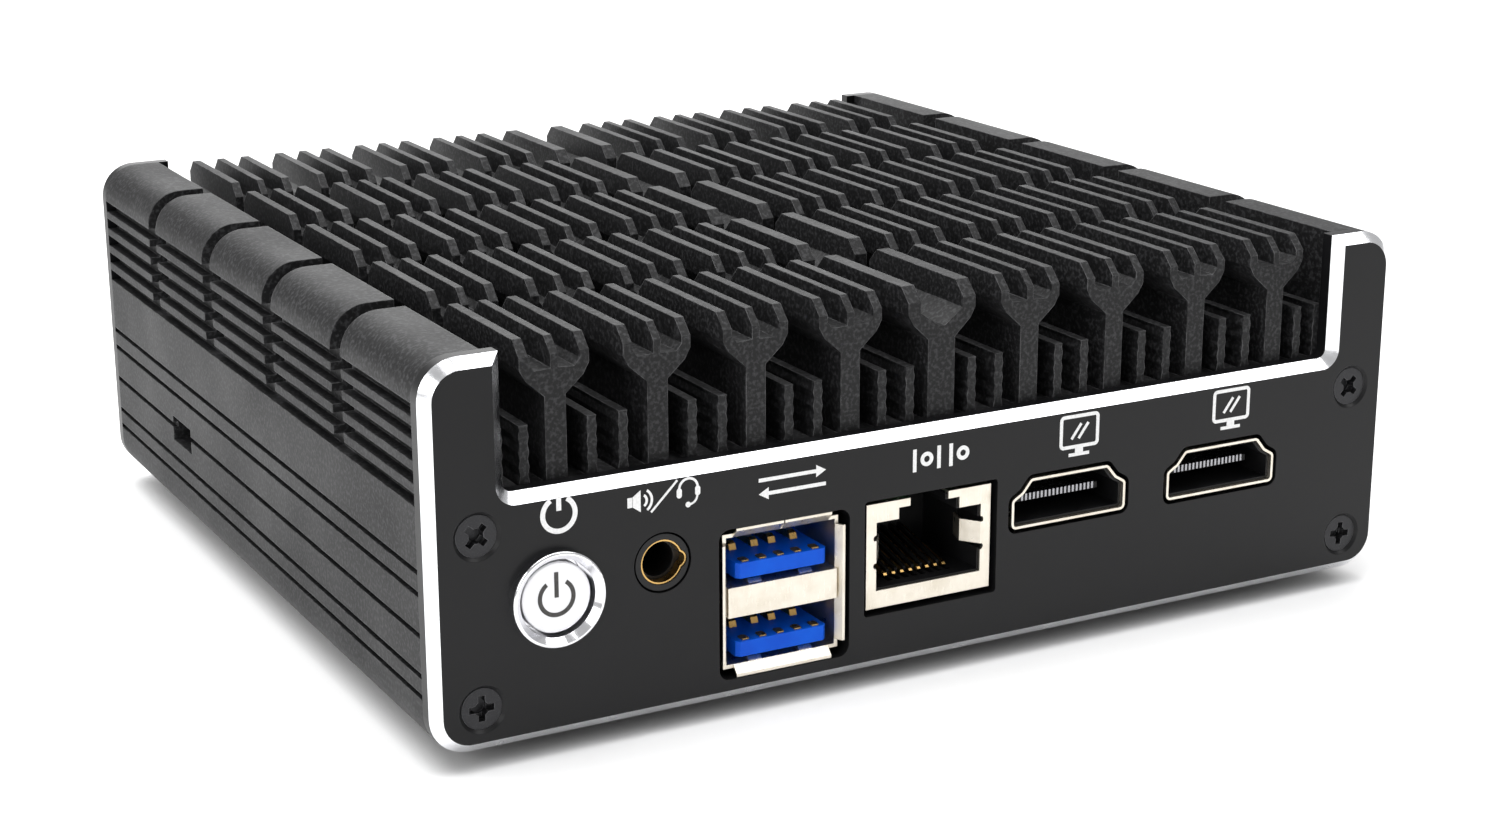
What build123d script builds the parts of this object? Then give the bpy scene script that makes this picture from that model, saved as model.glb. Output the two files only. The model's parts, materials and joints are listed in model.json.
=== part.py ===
from build123d import *
import os

# Fanless miniature computer: a finned aluminium housing closed by two end panels and
# a bottom cover, with the main board hung upside down under the finned roof so that
# the processor touches it.
#
# Frame: X runs left to right as seen from the front, Y runs from the front to the back,
# Z runs up. The origin is on the table, under the middle of the housing.

# ---- Driving dimensions (mm) -------------------------------------------------------

case_width = 115.0
case_depth = 107.5
case_height = 39.0
foot_height = 2.0
corner_radius = 4.0

panel_thickness = 2.5
panel_chamfer = 1.05
notch_half_width = 49.35          # the end panels are cut away in front of the fins
notch_floor = 25.25
notch_radius = 1.0

roof_top = 25.0                   # floor of the fin channel
roof_bottom = 22.0
wall_inner_x = 50.6               # inner face of the side walls beside the fins

tree_count = 9
tree_pitch = 10.76
slot_count = 4
slot_pitch = 20.83
slot_width = 3.0
fin_end_bevel = 1.5

deep_groove_heights = (34.1, 31.95, 29.8, 27.6, 25.4)
deep_groove = (1.3, 1.2)          # width and depth
fine_groove_heights = (18.3, 16.1, 11.95, 7.86, 5.74)
fine_groove = (0.6, 0.6)

cover_half_width = 53.0
boss_inner_x = 48.2               # lower part of the walls, which takes the screws
cover_thickness = 2.0

screw_x = 52.4                    # end panel screws
screw_heights = (4.4, 21.7)
screw_head_radius = 2.1
screw_sink = 0.3                  # how far the end panel screws sit below the face
screw_shank_radius = 1.2
screw_length = 8.0
thread_hole_radius = 1.25
head_flare = screw_head_radius - screw_shank_radius
recess_span = 2.6                 # cross recess, tip to tip
recess_width = 0.7
recess_depth = 0.9
recess_core_radius = 0.75
recess_core_depth = 1.2
cover_screw_place = (50.4, 30.0)
board_screw_place = (44.0, 31.0)

board_bottom = 18.3
board_thickness = 1.6
board_top = board_bottom + board_thickness
board_half_width = 48.0
board_half_depth = case_depth / 2 - 5.0

button_x = -44.57
button_z = 14.38
button_travel = 0.8
audio_x = -33.2
audio_z = 15.86
usb_x = -19.6
usb_z = 10.1
serial_x = -2.4
serial_z = 12.1
video_places = {"left": 14.7, "right": 34.7}
video_z = 15.0
lan_places = {"left": 10.0, "right": -8.0}
dc_x = 40.0
dc_z = 12.6
rear_usb_x = -30.0

front_y = -case_depth / 2
back_y = case_depth / 2
housing_front = front_y + panel_thickness
housing_back = back_y - panel_thickness

# ---- Helpers -----------------------------------------------------------------------


def block(x_range, y_range, z_range):
    """A box between three pairs of limits."""
    size = [high - low for low, high in (x_range, y_range, z_range)]
    middle = [(high + low) / 2 for low, high in (x_range, y_range, z_range)]
    return Pos(*middle) * Box(*size)


def prism(outline, y_start, y_end):
    """A flat outline drawn in X and Z, carried from y_start back to y_end."""
    plane = Plane(origin=(0, y_start, 0), x_dir=(1, 0, 0), z_dir=(0, -1, 0))
    return extrude(plane * outline, amount=y_start - y_end)


def rod(x, z, radius, y_start, y_end):
    """A round bar along Y."""
    return prism(Pos(x, z) * Circle(radius), y_start, y_end)


def post(x, y, radius, z_start, z_end):
    """A round bar along Z."""
    return Pos(x, y, z_start) * extrude(Circle(radius), amount=z_end - z_start)


def polygon(points):
    """A flat face with straight sides through the points."""
    return make_face(Polyline(*points, close=True))


def mirrored(points):
    """The points, then the same points on the other side of the vertical axis."""
    return points + [(-x, z) for x, z in reversed(points)]


def single(shape):
    """The one solid of a shape."""
    return shape.solids()[0]


def at_front(shape, x, z):
    """Place a connector drawn at the origin, mouth towards -Y, in the front panel."""
    return Pos(x, front_y, z) * shape


def at_back(shape, x, z):
    """Place a connector drawn at the origin, mouth towards -Y, in the rear panel."""
    return Pos(x, back_y, z) * Rot(0, 0, 180) * shape


def save(name, shape):
    """Write one node: its solids, lifted onto the feet."""
    solids = [Pos(0, 0, foot_height) * solid for solid in shape.solids()]
    export_step(Compound(children=solids), f"parts/{name}.step")


def group(shapes):
    """Separate solids that make up one node."""
    return Compound(children=[solid for shape in shapes for solid in shape.solids()])


def both_ways(*values):
    """Each value with both signs."""
    return [sign * value for value in values for sign in (-1, 1)]


# ---- Finned housing ----------------------------------------------------------------


def case_outline():
    """Rounded rectangle shared by the housing and the end panels."""
    return Pos(0, case_height / 2) * RectangleRounded(case_width, case_height, corner_radius)


def fork_fin(x, stem, spread, prong, prong_count):
    """Tall fin: a stem that flares into upright prongs, like an open spanner."""
    flare_start = 33.5
    flare_end = 36.0
    pocket_floor = 36.2 if prong_count == 3 else 34.8
    head = mirrored([
        (stem, roof_top - 0.5),
        (stem, flare_start),
        (spread - 0.6, flare_end - 0.8),
        (spread, flare_end + 0.3),
        (spread, case_height),
    ])
    fin = polygon(head)
    inner = spread - prong
    if prong_count == 3:
        middle = 0.4
        for side in (-1, 1):
            pocket = [
                (side * middle, case_height + 1),
                (side * middle, pocket_floor),
                (side * (inner - 0.6), pocket_floor - 0.1),
                (side * inner, pocket_floor + 0.6),
                (side * inner, case_height + 1),
            ]
            fin -= polygon(pocket)
    else:
        fin -= polygon(mirrored([
            (0.35, pocket_floor),
            (inner, pocket_floor + 1.6),
            (inner, case_height + 1),
        ]))
    return Pos(x, 0) * fin


def low_fin(x):
    """Short fin with rippled sides."""
    low_fin_top = 31.0
    half = 0.48
    ripple = 0.07
    pitch = 0.75
    side = [(half, roof_top - 0.5)]
    ripple_count = int((low_fin_top - roof_top) / pitch)
    for index in range(ripple_count):
        side.append((half + ripple * (-1) ** index, roof_top + pitch * (index + 0.5)))
    side.append((half, low_fin_top))
    return Pos(x, 0) * polygon(mirrored(side))


def fin_outlines():
    """All fins side by side, tall ones with pairs of low ones between them."""
    outlines = []
    middle_tree = tree_count // 2
    for index in range(tree_count):
        x = (index - middle_tree) * tree_pitch
        if index == middle_tree:
            outlines.append(fork_fin(x, stem=1.6, spread=4.0, prong=1.5, prong_count=2))
        else:
            outlines.append(fork_fin(x, stem=1.1, spread=3.6, prong=0.95, prong_count=3))
    for gap in range(tree_count - 1):
        centre = (gap + 0.5 - middle_tree) * tree_pitch
        outlines += [low_fin(centre + offset) for offset in both_ways(1.65)]
    last_tree = middle_tree * tree_pitch
    outlines += [low_fin(x) for x in both_ways(last_tree + 3.36, last_tree + 6.06)]
    return outlines


def cavity_outline():
    """Hollow for the board, narrower where the screws run through the walls."""
    return polygon(mirrored([
        (cover_half_width, -1.0),
        (cover_half_width, cover_thickness),
        (boss_inner_x, cover_thickness),
        (boss_inner_x, 8.0),
        (51.8, 10.0),
        (51.8, 15.5),
        (49.0, 18.3),
        (49.0, roof_bottom),
    ]))


def groove_cutters():
    """Long rectangular grooves down the outside of both walls."""
    cutters = []
    for heights, (width, depth) in (
        (deep_groove_heights, deep_groove),
        (fine_groove_heights, fine_groove),
    ):
        for z in heights:
            for x in both_ways(case_width / 2):
                cutters.append(Pos(x, z) * Rectangle(2 * depth, width))
    return cutters


def slot_positions():
    """Y of each saw slot across the fins."""
    return [(index - (slot_count - 1) / 2) * slot_pitch for index in range(slot_count)]


def bevel_cutter(y, half_gap):
    """Wedge along X that bevels the fin tops on both sides of a gap at y."""
    top = half_gap + fin_end_bevel
    outline = Plane.YZ * polygon([
        (y - half_gap, case_height - fin_end_bevel),
        (y - top - 1, case_height + 1),
        (y + top + 1, case_height + 1),
        (y + half_gap, case_height - fin_end_bevel),
    ])
    return extrude(outline, amount=wall_inner_x, both=True)


def lock_slot():
    """Slot for a cable lock, through the left wall near the back."""
    middle_y = front_y + 78.0
    z = 11.6
    return block((-case_width / 2 - 1, -50.0), (middle_y - 3.5, middle_y + 3.5), (z - 1.5, z + 1.5))


def heatsink_housing():
    outline = case_outline()
    channel_height = case_height - roof_top + 2
    outline -= Pos(0, roof_top + channel_height / 2) * Rectangle(2 * wall_inner_x, channel_height)
    outline -= cavity_outline()
    for cutter in groove_cutters():
        outline -= cutter
    for fin in fin_outlines():
        outline += fin
    housing = prism(outline, housing_front, housing_back)

    cutters = [lock_slot()]
    slot_top = case_height + 2
    for y in slot_positions():
        cutters.append(block(
            (-case_width, case_width),
            (y - slot_width / 2, y + slot_width / 2),
            (roof_top, slot_top),
        ))
        cutters.append(bevel_cutter(y, slot_width / 2))
    cutters += [bevel_cutter(y, 0.0) for y in (housing_front, housing_back)]
    for x in both_ways(screw_x):
        for z in screw_heights:
            cutters.append(rod(x, z, thread_hole_radius, housing_front - 1, housing_front + 9))
            cutters.append(rod(x, z, thread_hole_radius, housing_back - 9, housing_back + 1))
    for x, y in board_screw_places():
        cutters.append(post(x, y, thread_hole_radius, roof_bottom - 1, roof_top - 1.2))
    for x, y in cover_screw_places():
        cutters.append(post(x, y, thread_hole_radius, cover_thickness - 1, screw_length + 1))
    return single(housing - cutters)


# ---- Screws ------------------------------------------------------------------------


def cross_recess():
    """Cutter for a cross recess with a deeper middle, going along +Z from the origin."""
    cross = Box(recess_span, recess_width, 2 * recess_depth)
    cross += Box(recess_width, recess_span, 2 * recess_depth)
    return cross + Cylinder(recess_core_radius, 2 * recess_core_depth)


def countersunk_screw(turn):
    """Countersunk screw along +Z, its flat head face at the origin."""
    head = Pos(0, 0, head_flare / 2) * Cone(screw_head_radius, screw_shank_radius, head_flare)
    shank = Pos(0, 0, screw_length / 2) * Cylinder(screw_shank_radius, screw_length)
    return head + shank - Rot(0, 0, turn) * cross_recess()


def pan_screw(length):
    """Pan-head screw along +Z, the underside of its head at the origin."""
    head_height = 1.5
    head_radius = 2.2
    head = Pos(0, 0, -head_height / 2) * Cylinder(head_radius, head_height)
    head = fillet(head.edges().group_by(Axis.Z)[0], 0.6)
    shank = Pos(0, 0, length / 2) * Cylinder(screw_shank_radius, length)
    return head + shank - Pos(0, 0, -head_height) * cross_recess()


def countersink(sink):
    """Cutter along +Z for a countersunk screw that sits this far below the face at the origin."""
    hole_radius = screw_shank_radius + 0.05
    hole_length = 6.0
    depth = sink + head_flare
    cone = Pos(0, 0, depth / 2) * Cone(hole_radius + depth, hole_radius, depth)
    return cone + Pos(0, 0, hole_length / 2) * Cylinder(hole_radius, hole_length)


def end_screw_places():
    """X, Z and cross turn of the four screws of an end panel."""
    turns = (0.0, 42.0, 5.0, 40.0)
    places = [(x, z) for x in (-screw_x, screw_x) for z in screw_heights]
    return [(x, z, turn) for (x, z), turn in zip(places, turns)]


def four_corners(place):
    """A place and its mirror images about both axes."""
    return [(x, y) for x in both_ways(place[0]) for y in both_ways(place[1])]


def cover_screw_places():
    return four_corners(cover_screw_place)


def board_screw_places():
    return four_corners(board_screw_place)


towards_back = Rot(-90, 0, 0)
towards_front = Rot(90, 0, 0)


def end_screws(y, facing):
    """The four screws of one end panel."""
    screws = []
    for x, z, turn in end_screw_places():
        screws.append(Pos(x, y, z) * facing * Pos(0, 0, screw_sink) * countersunk_screw(turn))
    return group(screws)


def cover_screws():
    """The screws of the bottom cover, flush with its underside."""
    screw = countersunk_screw(turn=20.0)
    return group([Pos(x, y, 0) * screw for x, y in cover_screw_places()])


# ---- End panels, cover and feet ----------------------------------------------------


def panel_outline():
    """Case outline with the part in front of the fins cut away."""
    cut_height = case_height - notch_floor + 4
    notch = Pos(0, notch_floor + cut_height / 2) * RectangleRounded(
        2 * notch_half_width, cut_height, notch_radius
    )
    return case_outline() - notch


def blank_panel():
    """End panel without its cut-outs, its bevelled face towards -Y at the front."""
    panel = prism(panel_outline(), front_y, front_y + panel_thickness)
    front_face = panel.faces().sort_by(Axis.Y)[0]
    return chamfer(front_face.outer_wire().edges(), panel_chamfer)


def screw_cutters():
    cutter = towards_back * countersink(screw_sink)
    return [Pos(x, front_y, z) * cutter for x, z, _ in end_screw_places()]


def opening(x, z, width, height, radius):
    """Rounded rectangular cut-out through a front panel."""
    outline = Pos(x, z) * RectangleRounded(width, height, radius)
    return prism(outline, front_y - 1, front_y + panel_thickness + 1)


def round_opening(x, z, radius):
    return rod(x, z, radius, front_y - 1, front_y + panel_thickness + 1)


def front_panel():
    cutters = screw_cutters()
    cutters.append(round_opening(button_x, button_z, bezel_barrel_radius + 0.05))
    cutters.append(round_opening(audio_x, audio_z, audio_nose_radius + 0.2))
    cutters.append(opening(usb_x, usb_z, 14.9, 15.8, 1.2))
    cutters.append(opening(serial_x, serial_z, 16.0, 12.4, 0.4))
    for x in video_places.values():
        outline = Pos(x, video_z) * offset(video_outline(), 0.45)
        cutters.append(prism(outline, front_y - 1, front_y + panel_thickness + 1))
    return single(blank_panel() - cutters)


def rear_panel():
    cutters = screw_cutters()
    cutters.append(round_opening(-dc_x, dc_z, dc_nose_radius + 0.2))
    cutters.append(opening(-rear_usb_x, usb_z, 14.9, 15.8, 1.2))
    for x in lan_places.values():
        cutters.append(opening(-x, serial_z, 16.0, 12.4, 0.4))
    return Rot(0, 0, 180) * single(blank_panel() - cutters)


def bottom_cover():
    gap = 0.1
    half_depth = case_depth / 2 - panel_thickness - gap
    cover = block(
        (-cover_half_width + gap, cover_half_width - gap),
        (-half_depth, half_depth),
        (0, cover_thickness),
    )
    cutters = [Pos(x, y, 0) * countersink(sink=0.0) for x, y in cover_screw_places()]
    return single(cover - cutters)


def rubber_feet():
    """Four round feet with a rounded lower rim, stuck under the cover."""
    foot_radius = 5.0
    foot_place = (44.0, 43.0)
    foot = Pos(0, 0, -foot_height / 2) * Cylinder(foot_radius, foot_height)
    foot = fillet(foot.edges().group_by(Axis.Z)[0], 0.6)
    return group([Pos(x, y, 0) * foot for x, y in four_corners(foot_place)])


# ---- Power button ------------------------------------------------------------------

bezel_flange_radius = 4.83
bezel_barrel_radius = 4.45
bezel_mouth_radius = 4.5          # the rim slopes in from here to the recess
bezel_recess_radius = 3.92
bezel_height = 1.1
bezel_slope_depth = 0.65
bezel_web = (2.6, 4.5)            # web that guides the stem, measured from the panel face
stem_radius = 2.0
running_gap = 0.06
cap_radius = 3.6
cap_face = -0.15                 # just proud of the panel, inside the bezel's rim
stem_end = 8.0
plunger_radius = 1.7


def button_rod(radius, start, end):
    """Bar on the button axis; start and end are depths behind the panel face."""
    return rod(button_x, button_z, radius, front_y + start, front_y + end)


def power_button_bezel():
    """Plated ring with a wide rim that slopes in to the cap, and a barrel through the panel."""
    flange = button_rod(bezel_flange_radius, -bezel_height, 0)
    bezel = flange + button_rod(bezel_barrel_radius, -bezel_height, bezel_web[1])
    bezel -= button_rod(bezel_recess_radius, -bezel_height - 1, bezel_web[0])
    bezel -= button_rod(stem_radius + running_gap, 0, bezel_web[1] + 1)
    slope = Cone(bezel_mouth_radius, bezel_recess_radius, bezel_slope_depth)
    rim_centre = Pos(button_x, front_y - bezel_height, button_z)
    bezel -= rim_centre * towards_back * Pos(0, 0, bezel_slope_depth / 2) * slope
    outer_rim = bezel.faces().sort_by(Axis.Y)[0].outer_wire().edges()
    return single(fillet(outer_rim, 0.25))


def power_button_nut():
    """Hexagonal nut that clamps the bezel behind the panel."""
    outline = RegularPolygon(6.6, 6) - Circle(bezel_barrel_radius + 0.05)
    start = front_y + panel_thickness
    return single(prism(Pos(button_x, button_z) * outline, start, start + 1.6))


def power_button_cap():
    """Round cap, lightly broken at its edge, on a stem that runs in the bezel."""
    cap = button_rod(cap_radius, cap_face, cap_face + 1.2)
    cap = fillet(cap.edges().group_by(Axis.Y)[0], 0.2)
    return single(cap + button_rod(stem_radius, cap_face + 1.0, stem_end))


def power_button_clip():
    """Clip on the stem that stops the cap from leaving the bezel."""
    start = bezel_web[1] + 0.3
    return single(button_rod(3.0, start, start + 0.5) - button_rod(stem_radius, start - 1, start + 2))


def power_switch_plunger():
    return single(button_rod(plunger_radius, stem_end, stem_end + 2.6))


def power_switch_body():
    """Side-acting switch soldered under the front edge of the board."""
    start = front_y + stem_end + button_travel + 0.4
    body = block((button_x - 3.4, button_x + 3.4), (start, start + 4.0), (button_z - 3.6, board_bottom))
    body -= button_rod(plunger_radius + running_gap, stem_end, stem_end + 4.2)
    return single(body)


# ---- Audio socket ------------------------------------------------------------------

audio_nose_radius = 2.9
audio_bore_radius = 1.8
audio_ring_radius = 2.3
audio_ring_wall = 0.17
audio_ring_key = (1.75, 0.95)      # offset and radius of the ring's locating bump
audio_ring_seat = 1.4             # depth of the pocket that takes the ring
audio_bore_end = 13.0


def audio_rod(radius, start, end):
    """Bar on the audio socket's axis, by depth behind the panel face."""
    return rod(audio_x, audio_z, radius, front_y + start, front_y + end)


def audio_ring_recess(clearance, start, end):
    """Round pocket of the ring, with a locating bump on its right."""
    key_offset, key_radius = audio_ring_key
    outline = Circle(audio_ring_radius - clearance)
    outline += Pos(key_offset, 0) * Circle(key_radius - clearance)
    return prism(Pos(audio_x, audio_z) * outline, front_y + start, front_y + end)


def audio_socket_body():
    body = block(
        (audio_x - 3.2, audio_x + 3.2),
        (front_y + panel_thickness + 0.3, front_y + 14.5),
        (audio_z - 3.2, board_bottom),
    )
    body += audio_rod(audio_nose_radius, 0.1, panel_thickness + 1)
    body -= audio_rod(audio_bore_radius, -1, audio_bore_end)
    body -= audio_ring_recess(0, -1, audio_ring_seat)
    return single(body)


def audio_socket_ring():
    """Thin gilt spring ring inside the socket's mouth."""
    clearance = 0.03
    ring = audio_ring_recess(clearance, 0.25, audio_ring_seat - 0.05)
    return single(ring - audio_ring_recess(clearance + audio_ring_wall, -1, audio_ring_seat + 1))


# ---- Stacked USB-style socket ------------------------------------------------------

stack_half_width = 6.2            # inside the metal shell
stack_half_height = 6.7
stack_divider = 1.58
shell_wall = 0.4
stack_depth = 17.5
lip_depth = 0.9
lip_reach = 1.15                  # of the top and bottom lips
side_lip_reach = 0.8
tongue_half_width = 5.15
tongue_low = 0.75                 # above the floor of its own port
tongue_high = 2.35
tongue_front = 0.6
tongue_root = 9.0
pad_start = tongue_front + 0.25   # front contacts
pad_end = tongue_front + 1.4
port_floors = (-stack_half_height, stack_divider)
port_height = stack_half_height - stack_divider


def stack_lip(length, root, reach):
    """Flared lip along X, from its root above the axis outwards and to the front."""
    section = Plane.YZ * polygon([
        (lip_depth + 0.1, root),
        (lip_depth, root),
        (0.1, root + reach - 0.3),
        (0.1, root + reach),
        (lip_depth, root + shell_wall),
        (lip_depth + 0.1, root + shell_wall),
    ])
    return extrude(section, amount=length / 2, both=True)


def floor_spring():
    """Pressed spring on a port's floor that grips the plug from below."""
    section = Plane.YZ * polygon([
        (0.9, -0.1),
        (0.9, 0.0),
        (1.3, 0.35),
        (1.7, 0.35),
        (2.6, 0.0),
        (2.6, -0.1),
    ])
    return extrude(section, amount=0.75, both=True)


def usb_stack_shell():
    """Folded metal shell of two stacked ports, with lips flared out round its mouth."""
    outer = Rectangle(2 * (stack_half_width + shell_wall), 2 * (stack_half_height + shell_wall))
    shell = prism(outer, lip_depth, stack_depth)
    shell -= block(
        (-stack_half_width, stack_half_width),
        (0, stack_depth - shell_wall),
        (-stack_half_height, stack_half_height),
    )
    shell += block(
        (-stack_half_width, stack_half_width),
        (0.4, stack_depth - shell_wall),
        (-stack_divider, stack_divider),
    )
    for floor in port_floors:
        for x in both_ways(2.9):
            shell += Pos(x, 0, floor) * floor_spring()
    for x in both_ways(2.75):
        shell += Pos(x, 0, 0) * stack_lip(5.35, stack_half_height, lip_reach)
    shell += Rot(0, 180, 0) * stack_lip(10.9, stack_half_height, lip_reach)
    for turn in (-90, 90):
        shell += Rot(0, turn, 0) * stack_lip(12.4, stack_half_width, side_lip_reach)
    return single(shell)


def usb_stack_insulators():
    """Coloured moulding of each port: a contact tongue on a block at the back."""
    pieces = []
    for floor in port_floors:
        piece = block(
            (-stack_half_width + 0.02, stack_half_width - 0.02),
            (tongue_root, stack_depth - shell_wall - 0.02),
            (floor + 0.02, floor + port_height - 0.02),
        )
        tongue = block(
            (-tongue_half_width, tongue_half_width),
            (tongue_front, tongue_root + 0.5),
            (floor + tongue_low, floor + tongue_high),
        )
        front_corners = tongue.edges().filter_by(Axis.Z).group_by(Axis.Y)[0]
        pieces.append(single(piece + chamfer(front_corners, 0.4)))
    return group(pieces)


def sprung_contact():
    """Humped contact on top of a tongue, near its root."""
    section = Plane.YZ * polygon([
        (4.5, 0.0),
        (4.75, 0.6),
        (5.3, 0.8),
        (tongue_root, 0.3),
        (tongue_root, 0.0),
    ])
    return extrude(section, amount=0.4, both=True)


def usb_stack_contacts():
    """Nine gilt contacts on each tongue: five low pads in front, four humped ones behind."""
    pad = block((-0.42, 0.42), (pad_start, pad_end), (0.0, 0.15))
    pad = fillet(pad.edges().filter_by(Axis.Z), 0.2)
    pad_pitch = 2.0
    contacts = []
    for floor in port_floors:
        top = floor + tongue_high
        for index in range(-2, 3):
            contacts.append(Pos(index * pad_pitch, 0, top) * pad)
        for x in both_ways(1.0, 3.5):
            contacts.append(Pos(x, 0, top) * sprung_contact())
    return group(contacts)


# ---- Modular (eight-contact) socket ------------------------------------------------

modular_half_width = 7.5
modular_half_height = 5.65
modular_depth = 15.0
modular_face = 0.5
modular_can_wall = 0.3
modular_mouth_half_width = 6.3
modular_floor = -3.75
modular_cavity_back = 11.5
wire_pitch = 1.02


def modular_outline(clearance=0.0):
    """Mouth of the socket: wide below, stepped above for the plug's latch."""
    return polygon(mirrored([
        (modular_mouth_half_width - clearance, modular_floor + clearance),
        (modular_mouth_half_width - clearance, 3.6 - clearance),
        (3.65 - clearance, 3.6 - clearance),
        (3.65 - clearance, 4.8 - clearance),
        (2.3 - clearance, 4.8 - clearance),
        (2.3 - clearance, 6.5),
    ]))


def lead_in_spring():
    """Sprung tab bent in from the right side of the mouth, which earths the plug."""
    bottom = -0.75
    height = 2.4
    outline = polygon([
        (modular_mouth_half_width + 0.3, modular_face),
        (modular_mouth_half_width, modular_face),
        (4.9, 2.4),
        (5.5, 4.5),
        (5.7, 4.5),
        (5.15, 2.45),
        (modular_mouth_half_width, modular_face + modular_can_wall),
        (modular_mouth_half_width + 0.3, modular_face + modular_can_wall),
    ])
    return Pos(0, 0, bottom) * extrude(outline, amount=height)


def modular_shell():
    """Metal can whose front face is cut to the shape of the mouth and bent in beside it."""
    wall = modular_can_wall
    can = block(
        (-modular_half_width, modular_half_width),
        (modular_face, modular_depth),
        (-modular_half_height, modular_half_height),
    )
    can -= block(
        (-modular_half_width + wall, modular_half_width - wall),
        (modular_face + wall, modular_depth - wall),
        (-modular_half_height + wall, modular_half_height - wall),
    )
    can -= prism(modular_outline(), modular_face - 1, modular_face + wall + 0.5)
    latch_top = modular_half_height - 0.5
    can -= block((-2.3, 2.3), (modular_face - 1, modular_face + 6), (latch_top, latch_top + 2))
    relief = Circle(0.35)
    for x in both_ways(modular_mouth_half_width):
        for z in (-1.05, 1.9):
            can -= prism(Pos(x, z) * relief, modular_face - 1, modular_face + wall + 0.1)
    can += lead_in_spring()
    can += mirror(lead_in_spring(), about=Plane.YZ)
    return single(can)


def modular_insert():
    """Black moulding inside the can, hollowed for the plug."""
    wall = 0.35
    insert = block(
        (-modular_half_width + wall, modular_half_width - wall),
        (modular_face + wall, modular_depth - wall),
        (-modular_half_height + wall, modular_half_height - wall),
    )
    insert -= prism(modular_outline(0.15), modular_face - 1, modular_cavity_back)
    for x in both_ways(modular_mouth_half_width):
        insert -= block((x - 0.3, x + 0.3), (0.0, 5.0), (-1.3, 2.2))
    for x in modular_contact_places():
        insert -= block((x - 0.3, x + 0.3), (2.2, 4.5), (modular_floor - 0.6, modular_floor + 1))
    for x in modular_contact_places()[:-1]:
        insert += Pos(x + wire_pitch / 2, 0, 0) * wire_divider()
    return single(insert)


def wire_divider():
    """Thin rising rib that keeps two neighbouring wires apart."""
    section = Plane.YZ * polygon([
        (3.6, modular_floor - 0.1),
        (modular_cavity_back + 0.1, modular_floor - 0.1),
        (modular_cavity_back + 0.1, modular_floor + 2.75),
        (3.6, modular_floor + 0.8),
    ])
    return extrude(section, amount=0.17, both=True)


def modular_contact_places():
    return [wire_pitch * (index - 3.5) for index in range(8)]


def modular_contacts():
    """Eight sprung wires that rise from the floor towards the back."""
    section = Plane.YZ * polygon([
        (3.1, modular_floor + 0.4),
        (3.4, modular_floor + 0.2),
        (modular_cavity_back - 0.1, modular_floor + 1.9),
        (modular_cavity_back - 0.1, modular_floor + 2.2),
        (3.3, modular_floor + 0.6),
    ])
    wire = extrude(section, amount=0.2, both=True)
    return group([Pos(x, 0, 0) * wire for x in modular_contact_places()])


# ---- Video socket ------------------------------------------------------------------

video_rim = 0.28
video_lining = 0.25
video_depth = 11.0
video_cavity_back = 7.5
video_gap = 0.02                  # between the shell and the moulding inside it
tongue_top = 0.15
tongue_bottom = -0.55
tongue_tip = 2.3


def video_outline():
    """Outside of the shell: flat below, with hollow sloping shoulders above."""
    outline = polygon(mirrored([(7.25, -2.65), (7.25, 0.55), (6.0, 1.3), (4.9, 2.65)]))
    return fillet(outline.vertices(), 0.6)


def video_socket_shell():
    shell = prism(video_outline(), 0.0, video_depth)
    shell -= prism(offset(video_outline(), -video_rim), -1.0, video_depth - 0.4)
    return single(shell)


def video_socket_insert():
    """Black moulding that lines the shell and carries the contact tongue."""
    outline = offset(video_outline(), -video_rim - video_gap)
    insert = prism(outline, 0.5, video_depth - 0.42)
    insert -= prism(offset(outline, -video_lining), -1.0, video_cavity_back)
    insert += block((-5.2, 5.2), (tongue_tip, video_cavity_back + 0.5), (tongue_bottom, tongue_top))
    return single(insert)


def video_socket_contacts():
    """Nineteen fine contacts side by side, over the top and the front of the tongue."""
    pitch = 0.5
    thickness = 0.12
    places = [pitch * (index - 9) for index in range(19)]
    width = (-0.13, 0.13)
    start = tongue_tip - thickness
    high = tongue_top + thickness
    top = block(width, (start, video_cavity_back - 0.1), (tongue_top, high))
    front = block(width, (start, tongue_tip), (tongue_bottom + 0.05, high))
    return group([Pos(x, 0, 0) * (top + front) for x in places])


# ---- Power inlet -------------------------------------------------------------------

dc_nose_radius = 4.0
dc_bore_radius = 2.9


def dc_inlet_body():
    body = block((-4.6, 4.6), (panel_thickness + 0.3, 14.0), (-5.0, board_bottom - dc_z))
    body += prism(Circle(dc_nose_radius), 0.1, panel_thickness + 1)
    body -= prism(Circle(dc_bore_radius), -1.0, 11.0)
    return single(body)


def dc_inlet_pin():
    """Centre pin with a rounded tip."""
    pin = prism(Circle(1.0), 1.2, 11.0)
    return single(fillet(pin.edges().group_by(Axis.Y)[0], 0.6))


# ---- Main board and what it carries ------------------------------------------------


def main_board():
    board = block(
        (-board_half_width, board_half_width),
        (-board_half_depth, board_half_depth),
        (board_bottom, board_top),
    )
    cutters = [post(x, y, 1.5, board_bottom - 1, board_top + 1) for x, y in board_screw_places()]
    return single(board - cutters)


def board_standoffs():
    """Tubular spacers between the board and the roof."""
    spacers = []
    for x, y in board_screw_places():
        spacer = post(x, y, 2.5, board_top, roof_bottom)
        spacers.append(spacer - post(x, y, thread_hole_radius, board_top - 1, roof_bottom + 1))
    return group(spacers)


def board_screws():
    screw = pan_screw(length=5.2)
    return group([Pos(x, y, board_bottom) * screw for x, y in board_screw_places()])


package_top = board_top + 1.3


def processor_package():
    """Chip carrier with a raised die on the upper side of the board."""
    carrier = block((-12.5, 12.5), (-13.5, 13.5), (board_top, board_top + 0.9))
    die = block((-5.0, 5.0), (-4.5, 4.5), (board_top + 0.9, package_top))
    return single(carrier + die)


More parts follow.
